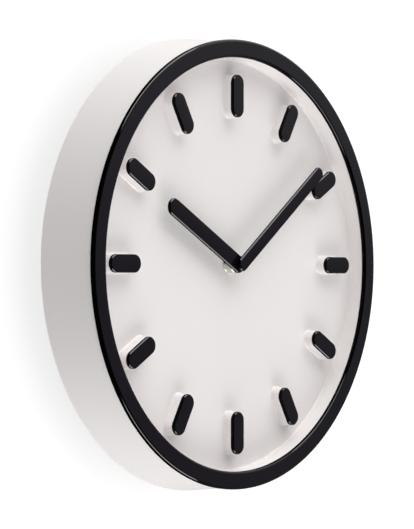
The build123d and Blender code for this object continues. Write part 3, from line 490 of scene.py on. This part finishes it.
def mouldGroup():
    # moulded plastic: fine spark grain for the bump, slow flow clouds for colour and gloss
    group, start, end = newGroup(
        "mouldedSkin",
        [("Vector", "NodeSocketVector"), ("Grain", "NodeSocketFloat"), ("Flow", "NodeSocketFloat")],
        [("Height", "NodeSocketFloat"), ("Cloud", "NodeSocketFloat")],
    )
    wire = group.links.new
    fine = group.nodes.new("ShaderNodeTexNoise")
    fine.inputs["Detail"].default_value = 2.0
    coarse = group.nodes.new("ShaderNodeTexNoise")
    coarse.inputs["Detail"].default_value = 3.0
    wire(start.outputs["Vector"], fine.inputs["Vector"])
    wire(start.outputs["Grain"], fine.inputs["Scale"])
    wire(start.outputs["Vector"], coarse.inputs["Vector"])
    wire(start.outputs["Flow"], coarse.inputs["Scale"])
    wire(fine.outputs[0], end.inputs["Height"])
    wire(coarse.outputs[0], end.inputs["Cloud"])
    return group


def latheGroup():
    # turned or rolled metal: fine lines that follow the radius from the dial axis, and slow patches
    group, start, end = newGroup(
        "latheLines",
        [("Vector", "NodeSocketVector"), ("Lines", "NodeSocketFloat")],
        [("Height", "NodeSocketFloat"), ("Streak", "NodeSocketFloat")],
    )
    wire = group.links.new
    flat = group.nodes.new("ShaderNodeVectorMath")
    flat.operation = "MULTIPLY"
    flat.inputs[1].default_value = (1, 0, 1)
    reach = group.nodes.new("ShaderNodeVectorMath")
    reach.operation = "LENGTH"
    lines = group.nodes.new("ShaderNodeTexNoise")
    lines.noise_dimensions = "1D"
    lines.inputs["Detail"].default_value = 3.0
    patch = group.nodes.new("ShaderNodeTexNoise")
    patch.inputs["Scale"].default_value = 260.0
    wire(start.outputs["Vector"], flat.inputs[0])
    wire(flat.outputs[0], reach.inputs[0])
    wire(reach.outputs["Value"], lines.inputs["W"])
    wire(start.outputs["Lines"], lines.inputs["Scale"])
    wire(start.outputs["Vector"], patch.inputs["Vector"])
    wire(lines.outputs[0], end.inputs["Height"])
    wire(patch.outputs[0], end.inputs["Streak"])
    return group


mouldedSkin = mouldGroup()
latheLines = latheGroup()


# finishes

maskLow, maskHigh = 0.3, 0.7  # nearly all of a noise lies between these
grainHeight = 0.02 * mm
turning = dict(lines=2500.0, bump=0.2, height=0.01 * mm)
# near-black base colour that the black finish gives to edges and sides: painted shade
paintedShadeBlack = (0.0006, 0.0006, 0.0007, 1)


def startMaterial(name):
    material = bpy.data.materials.new(name)
    material.use_nodes = True
    tree = material.node_tree
    shader = tree.nodes["Principled BSDF"]
    place = tree.nodes.new("ShaderNodeTexCoord")
    return material, tree, shader, place.outputs["Object"]


def blend(tree, mask, low, high):
    # a colour ramp between two colours, led by a mask
    ramp = tree.nodes.new("ShaderNodeValToRGB")
    first, last = ramp.color_ramp.elements
    first.position, last.position = maskLow, maskHigh
    first.color, last.color = (*low, 1), (*high, 1)
    tree.links.new(mask, ramp.inputs["Fac"])
    return ramp.outputs["Color"]


def spread(tree, mask, low, high, fromLow=maskLow, fromHigh=maskHigh):
    # a value between two limits, led by a mask
    scale = tree.nodes.new("ShaderNodeMapRange")
    scale.inputs["From Min"].default_value = fromLow
    scale.inputs["From Max"].default_value = fromHigh
    scale.inputs["To Min"].default_value = low
    scale.inputs["To Max"].default_value = high
    tree.links.new(mask, scale.inputs["Value"])
    return scale.outputs["Result"]


def raised(tree, shader, height, strength, distance):
    bump = tree.nodes.new("ShaderNodeBump")
    bump.inputs["Strength"].default_value = strength
    bump.inputs["Distance"].default_value = distance
    tree.links.new(height, bump.inputs["Height"])
    tree.links.new(bump.outputs["Normal"], shader.inputs["Normal"])


def mouldedNode(tree, place, grain, flow):
    skin = tree.nodes.new("ShaderNodeGroup")
    skin.node_tree = mouldedSkin
    skin.inputs["Grain"].default_value = grain
    skin.inputs["Flow"].default_value = flow
    tree.links.new(place, skin.inputs["Vector"])
    return skin


def plastic(name, low, high, rough, grain, flow, bump):
    # plastic with a fine grain and slow clouds between two close colours
    material, tree, shader, place = startMaterial(name)
    skin = mouldedNode(tree, place, grain, flow)
    tree.links.new(blend(tree, skin.outputs["Cloud"], low, high), shader.inputs["Base Color"])
    tree.links.new(spread(tree, skin.outputs["Cloud"], *rough), shader.inputs["Roughness"])
    raised(tree, shader, skin.outputs["Height"], bump, grainHeight)
    return material


def lacquer(name, low, high, rough, coat, sideCoat, coatRough, grain, flow, bump):
    # black plastic whose gloss is all in its coat; a piece's rim attribute paints edges and sides near black
    # as painted shade, and dulls the coat on the sides
    material, tree, shader, place = startMaterial(name)
    shader.inputs["Specular IOR Level"].default_value = 0.0
    shader.inputs["Coat Roughness"].default_value = coatRough
    skin = mouldedNode(tree, place, grain, flow)
    rim = tree.nodes.new("ShaderNodeAttribute")
    rim.attribute_name = "rim"
    # painted shade: the rim attribute mixes the base colour to near black on edges and sides
    paintedShade = tree.nodes.new("ShaderNodeMix")
    paintedShade.data_type = "RGBA"
    tree.links.new(rim.outputs["Fac"], paintedShade.inputs["Factor"])
    tree.links.new(blend(tree, skin.outputs["Cloud"], low, high), paintedShade.inputs["A"])
    paintedShade.inputs["B"].default_value = paintedShadeBlack
    tree.links.new(paintedShade.outputs["Result"], shader.inputs["Base Color"])
    weight = spread(tree, rim.outputs["Fac"], coat, sideCoat, onEdge, onSide)
    tree.links.new(weight, shader.inputs["Coat Weight"])
    tree.links.new(spread(tree, skin.outputs["Cloud"], *rough), shader.inputs["Roughness"])
    raised(tree, shader, skin.outputs["Height"], bump, grainHeight)
    return material


def metal(name, low, high, rough):
    # metal with fine turning lines and slow patches of gloss
    material, tree, shader, place = startMaterial(name)
    shader.inputs["Metallic"].default_value = 1.0
    turnedLines = tree.nodes.new("ShaderNodeGroup")
    turnedLines.node_tree = latheLines
    turnedLines.inputs["Lines"].default_value = turning["lines"]
    tree.links.new(place, turnedLines.inputs["Vector"])
    tree.links.new(blend(tree, turnedLines.outputs["Streak"], low, high), shader.inputs["Base Color"])
    tree.links.new(spread(tree, turnedLines.outputs["Streak"], *rough), shader.inputs["Roughness"])
    raised(tree, shader, turnedLines.outputs["Height"], turning["bump"], turning["height"])
    return material


# each finish has two close colours and the limits of its roughness
finishes = dict(
    white=plastic(
        "whiteMoulding", (0.800, 0.770, 0.765), (0.820, 0.790, 0.785), (0.40, 0.48),
        grain=1400.0, flow=7.0, bump=0.18,
    ),
    black=lacquer(
        "blackMoulding", (0.0043, 0.0031, 0.0066), (0.0055, 0.0042, 0.0080), (0.5, 0.6),
        coat=0.9, sideCoat=0.12, coatRough=0.06, grain=1800.0, flow=14.0, bump=0.2,
    ),
    hand=lacquer(
        "handBlack", (0.0040, 0.0026, 0.0057), (0.0052, 0.0037, 0.0071), (0.5, 0.6),
        coat=0.8, sideCoat=0.12, coatRough=0.06, grain=2200.0, flow=20.0, bump=0.12,
    ),
    housing=plastic(
        "movementBlack", (0.012, 0.012, 0.013), (0.018, 0.018, 0.019), (0.42, 0.55),
        grain=1100.0, flow=40.0, bump=0.5,
    ),
    knob=plastic(
        "knobGrey", (0.42, 0.42, 0.41), (0.47, 0.47, 0.46), (0.38, 0.46),
        grain=1800.0, flow=60.0, bump=0.2,
    ),
    natural=plastic(
        "naturalPlastic", (0.74, 0.71, 0.62), (0.78, 0.75, 0.67), (0.30, 0.38),
        grain=2200.0, flow=90.0, bump=0.12,
    ),
    rubber=plastic(
        "gasketRubber", (0.014, 0.014, 0.014), (0.022, 0.021, 0.021), (0.70, 0.82),
        grain=900.0, flow=60.0, bump=0.6,
    ),
    board=plastic(
        "boardGreen", (0.012, 0.10, 0.045), (0.018, 0.13, 0.06), (0.30, 0.38),
        grain=1600.0, flow=120.0, bump=0.2,
    ),
    sleeve=plastic(
        "cellSleeveGrey", (0.055, 0.065, 0.08), (0.065, 0.076, 0.092), (0.24, 0.30),
        grain=700.0, flow=60.0, bump=0.1,
    ),
    copper=plastic(
        "copperWire", (0.42, 0.14, 0.05), (0.52, 0.19, 0.07), (0.25, 0.35),
        grain=2600.0, flow=300.0, bump=0.5,
    ),
    zinc=metal("zincSteel", (0.52, 0.53, 0.55), (0.62, 0.63, 0.64), (0.28, 0.42)),
    nickel=metal("nickelPlate", (0.66, 0.64, 0.60), (0.74, 0.72, 0.68), (0.16, 0.26)),
    brass=metal("arborBrass", (0.60, 0.43, 0.16), (0.68, 0.50, 0.20), (0.20, 0.32)),
    core=metal("coreSteel", (0.36, 0.36, 0.37), (0.44, 0.44, 0.45), (0.34, 0.46)),
    magnet=metal("magnetGrey", (0.10, 0.10, 0.11), (0.14, 0.14, 0.15), (0.42, 0.55)),
)

# the hour marks, which aren't named here, are black
nodeFinish = dict(
    case_shell="white", dial_tray="white", bezel_ring="black", bezel_screws="zinc",
    hour_hand="hand", minute_hand="hand", collar_nut="nickel", dial_washer="nickel",
    rubber_gasket="rubber", centre_bush="brass", movement_base="housing", movement_cover="housing",
    train_bridge="natural", minute_arbor="brass", hour_wheel="natural", transfer_wheel="natural",
    setting_knob="knob", centre_wheel="natural", third_wheel="natural", seconds_wheel="natural",
    intermediate_wheel="natural", rotor="magnet", stator="core", coil_core="core",
    coil_bobbin="natural", coil_winding="copper", circuit_board="board", quartz_crystal="nickel",
    aa_cell="sleeve", contact_positive="nickel", contact_negative="nickel",
    hanger_plate="zinc", hanger_screws="zinc",
)


def dress(piece, material):
    if piece.material_slots:
        for slot in piece.material_slots:
            slot.material = material
    else:
        piece.data.materials.append(material)


for name, node in nodes.items():
    dress(node, finishes[nodeFinish.get(name, "black")])
for piece in (bezelPiece, *markPieces):
    dress(piece, finishes["black"])
for piece in (hourPiece, minutePiece):
    dress(piece, finishes["hand"])
for piece in (cellCan, *screws):
    dress(piece, finishes["zinc"])
dress(cellSleeve, finishes["sleeve"])
dress(windingPiece, finishes["copper"])
print("finishes:", len(finishes))


# the wall, seen from the front only, which keeps the clock's shadow

wall = dict(half=4.0, behind=0.6 * mm, shade=0.35, lift=0.62)


def wallSheet(spec):
    half, y = spec["half"], spec["behind"]
    mesh = bpy.data.meshes.new("wallSheet")
    corners = [(-half, y, -half), (half, y, -half), (half, y, half), (-half, y, half)]
    mesh.from_pydata(corners, [], [(0, 1, 2, 3)])
    sheet = bpy.data.objects.new("wallSheet", mesh)
    bpy.context.scene.collection.objects.link(sheet)
    sheet.visible_shadow = False
    sheet.visible_diffuse = False
    sheet.visible_glossy = False
    material, tree, shader, _ = startMaterial("wallPaint")
    shader.inputs["Base Color"].default_value = (spec["shade"], spec["shade"], spec["shade"], 1)
    shader.inputs["Roughness"].default_value = 1.0
    shader.inputs["Specular IOR Level"].default_value = 0.0
    shader.inputs["Emission Color"].default_value = (1, 1, 1, 1)
    shader.inputs["Emission Strength"].default_value = spec["lift"]
    clear = tree.nodes.new("ShaderNodeBsdfTransparent")
    side = tree.nodes.new("ShaderNodeNewGeometry")
    mix = tree.nodes.new("ShaderNodeMixShader")
    tree.links.new(side.outputs["Backfacing"], mix.inputs["Fac"])
    tree.links.new(shader.outputs[0], mix.inputs[1])
    tree.links.new(clear.outputs[0], mix.inputs[2])
    tree.links.new(mix.outputs[0], tree.nodes["Material Output"].inputs["Surface"])
    mesh.materials.append(material)
    return sheet


backdrop = wallSheet(wall)

# studio light: a dim room, brighter above, below and in front, with large soft boxes above, below, at the
# upper right and behind, smaller ones that only reflections see, a wash that lights the wall alone, and pale
# screens that metal alone mirrors

room = dict(
    level=0.19, poles=2.80, evenShare=0.35, frontShare=-0.65, front=0.10, glow=0.12,
    mirror=0.012, sweep=0.26, crest=2.2, tint=(1.0, 0.99, 0.98),
)
lampTarget = Vector((0, -0.04, 0))
lamps = [
    dict(name="boxAbove", place=(-0.36, -0.76, 1.98), wide=2.6, tall=2.6, power=30.0, sees="diffuse"),
    dict(name="boxBelow", place=(-0.16, -0.56, -1.95), wide=2.4, tall=2.4, power=29.0, sees="diffuse"),
    dict(name="boxRight", place=(1.25, -1.15, 1.25), wide=2.2, tall=2.2, power=7.0, sees="diffuse"),
    dict(name="glintAbove", place=(0.10, -0.86, 1.76), wide=1.8, tall=0.7, power=24.0, sees="glossy"),
    dict(name="glintBelow", place=(0.10, -0.86, -1.76), wide=1.8, tall=0.7, power=23.0, sees="glossy"),
    dict(name="wash", place=(1.9, -1.85, 0.0), wide=3.1, tall=3.1, power=112.0, sees="wall"),
    dict(name="boxBehind", place=(0.0, 3.0, 0.35), wide=1.0, tall=1.0, power=44.0, sees="diffuse"),
    dict(name="screenFront", place=(0.0, -2.4, 0.0), wide=8.0, tall=6.0, power=125.0, sees="metal"),
    dict(name="screenBehind", place=(0.0, 2.4, 0.0), wide=8.0, tall=6.0, power=95.0, sees="metal"),
]
metalFinishes = ("zinc", "nickel", "brass", "core")
metalNodes = [node for name, node in nodes.items() if nodeFinish.get(name) in metalFinishes]
metalPieces = [*metalNodes, cellCan, *screws]


def worked(tree, operation, *values):
    # one step of arithmetic: each value is a socket or a plain number
    step = tree.nodes.new("ShaderNodeMath")
    step.operation = operation
    for index, value in enumerate(values):
        if isinstance(value, (int, float)):
            step.inputs[index].default_value = value
        else:
            tree.links.new(value, step.inputs[index])
    return step.outputs[0]


def roomLight(spec):
    # with x, y and z the parts of the direction, the room's strength is level + front * min(y, 0)^4
    # + poles * z^2 * max(evenShare + frontShare * y, 0) + glow * max(y, 0), the last from the lit wall;
    # reflections see mirror + sweep * max(x, 0)^2 + crest * max(x, 0) * max(z, 0), dark on the camera's side
    world = bpy.data.worlds.new("room")
    bpy.context.scene.world = world
    world.use_nodes = True
    tree = world.node_tree
    wire = tree.links.new
    fill = tree.nodes["Background"]
    fill.inputs["Color"].default_value = (*spec["tint"], 1)
    direction = tree.nodes.new("ShaderNodeTexCoord")
    parts = tree.nodes.new("ShaderNodeSeparateXYZ")
    wire(direction.outputs["Generated"], parts.inputs[0])
    x, y, z = parts.outputs
    facing = worked(tree, "MULTIPLY_ADD", y, spec["frontShare"], spec["evenShare"])
    upright = worked(tree, "MULTIPLY", worked(tree, "POWER", z, 2.0), worked(tree, "MAXIMUM", facing, 0.0))
    strength = worked(tree, "MULTIPLY_ADD", upright, spec["poles"], spec["level"])
    ahead = worked(tree, "POWER", worked(tree, "MINIMUM", y, 0.0), 4.0)
    strength = worked(tree, "MULTIPLY_ADD", ahead, spec["front"], strength)
    behind = worked(tree, "MAXIMUM", y, 0.0)
    strength = worked(tree, "MULTIPLY_ADD", behind, spec["glow"], strength)
    right = worked(tree, "MAXIMUM", x, 0.0)
    sweep = worked(tree, "MULTIPLY_ADD", worked(tree, "POWER", right, 2.0), spec["sweep"], spec["mirror"])
    upper = worked(tree, "MULTIPLY", right, worked(tree, "MAXIMUM", z, 0.0))
    glossed = worked(tree, "MULTIPLY_ADD", upper, spec["crest"], sweep)
    path = tree.nodes.new("ShaderNodeLightPath")
    change = worked(tree, "SUBTRACT", glossed, strength)
    change = worked(tree, "MULTIPLY", path.outputs["Is Glossy Ray"], change)
    wire(worked(tree, "ADD", strength, change), fill.inputs["Strength"])
    # the white backdrop behind the clock, for the camera and for clear pieces
    seen = tree.nodes.new("ShaderNodeBackground")
    seen.inputs["Color"].default_value = (1, 1, 1, 1)
    mix = tree.nodes.new("ShaderNodeMixShader")
    looked = worked(tree, "MAXIMUM", path.outputs["Is Camera Ray"], path.outputs["Is Transmission Ray"])
    wire(looked, mix.inputs["Fac"])
    wire(fill.outputs[0], mix.inputs[1])
    wire(seen.outputs[0], mix.inputs[2])
    wire(mix.outputs[0], tree.nodes["World Output"].inputs["Surface"])


def receivers(name, pieces, state):
    # a collection for light linking: its lamps light only these pieces, or all but these
    group = bpy.data.collections.new(name)
    for piece in pieces:
        group.objects.link(piece)
    for entry in group.collection_objects:
        entry.light_linking.link_state = state
    return group


def hangLamps(specs):
    everything = receivers("notTheWall", [backdrop], "EXCLUDE")
    lit = dict(
        wall=receivers("wallAlone", [backdrop], "INCLUDE"),
        metal=receivers("metalAlone", metalPieces, "INCLUDE"),
    )
    for spec in specs:
        data = bpy.data.lights.new(spec["name"], "AREA")
        data.shape = "RECTANGLE"
        data.size, data.size_y = spec["wide"], spec["tall"]
        data.energy = spec["power"]
        lamp = bpy.data.objects.new(spec["name"], data)
        lamp.location = spec["place"]
        lamp.rotation_euler = (lampTarget - lamp.location).to_track_quat("-Z", "Y").to_euler()
        lamp.light_linking.receiver_collection = lit.get(spec["sees"], everything)
        lamp.visible_camera = False
        lamp.visible_diffuse = spec["sees"] != "glossy"
        lamp.visible_glossy = spec["sees"] != "diffuse"
        bpy.context.scene.collection.objects.link(lamp)


roomLight(room)
hangLamps(lamps)
print("lamps:", len(lamps))

# camera: at the left of the clock and level with it; the bezel's centre sits right of the image's middle.
# angles are in degrees, away is in metres, and focal and the image's places are in pixels

view = dict(
    azimuth=-51.6, rise=-0.41, away=1.617, focal=2060.0, sensor=36.0,
    imageTall=529, imageMiddle=(207.0, 264.5), centrePixel=(246.07, 264.38),
)


def photoCamera(spec):
    target = Vector((0, -frontOf("bezel_ring"), 0))
    turn, rise = math.radians(spec["azimuth"]), math.radians(spec["rise"])
    data = bpy.data.cameras.new("camera")
    data.sensor_width = spec["sensor"]
    data.lens = spec["focal"] * spec["sensor"] / spec["imageTall"]
    camera = bpy.data.objects.new("camera", data)
    camera.location = target + spec["away"] * Vector(
        (math.sin(turn) * math.cos(rise), -math.cos(turn) * math.cos(rise), math.sin(rise))
    )
    yaw = math.atan((spec["centrePixel"][0] - spec["imageMiddle"][0]) / spec["focal"])
    pitch = -rise - math.atan((spec["imageMiddle"][1] - spec["centrePixel"][1]) / spec["focal"])
    heading = -turn - yaw
    look = Vector(
        (math.sin(heading) * math.cos(pitch), math.cos(heading) * math.cos(pitch), math.sin(pitch))
    )
    camera.rotation_euler = look.to_track_quat("-Z", "Y").to_euler()
    bpy.context.scene.collection.objects.link(camera)
    bpy.context.scene.camera = camera


photoCamera(view)
bpy.context.scene.view_settings.view_transform = "Standard"
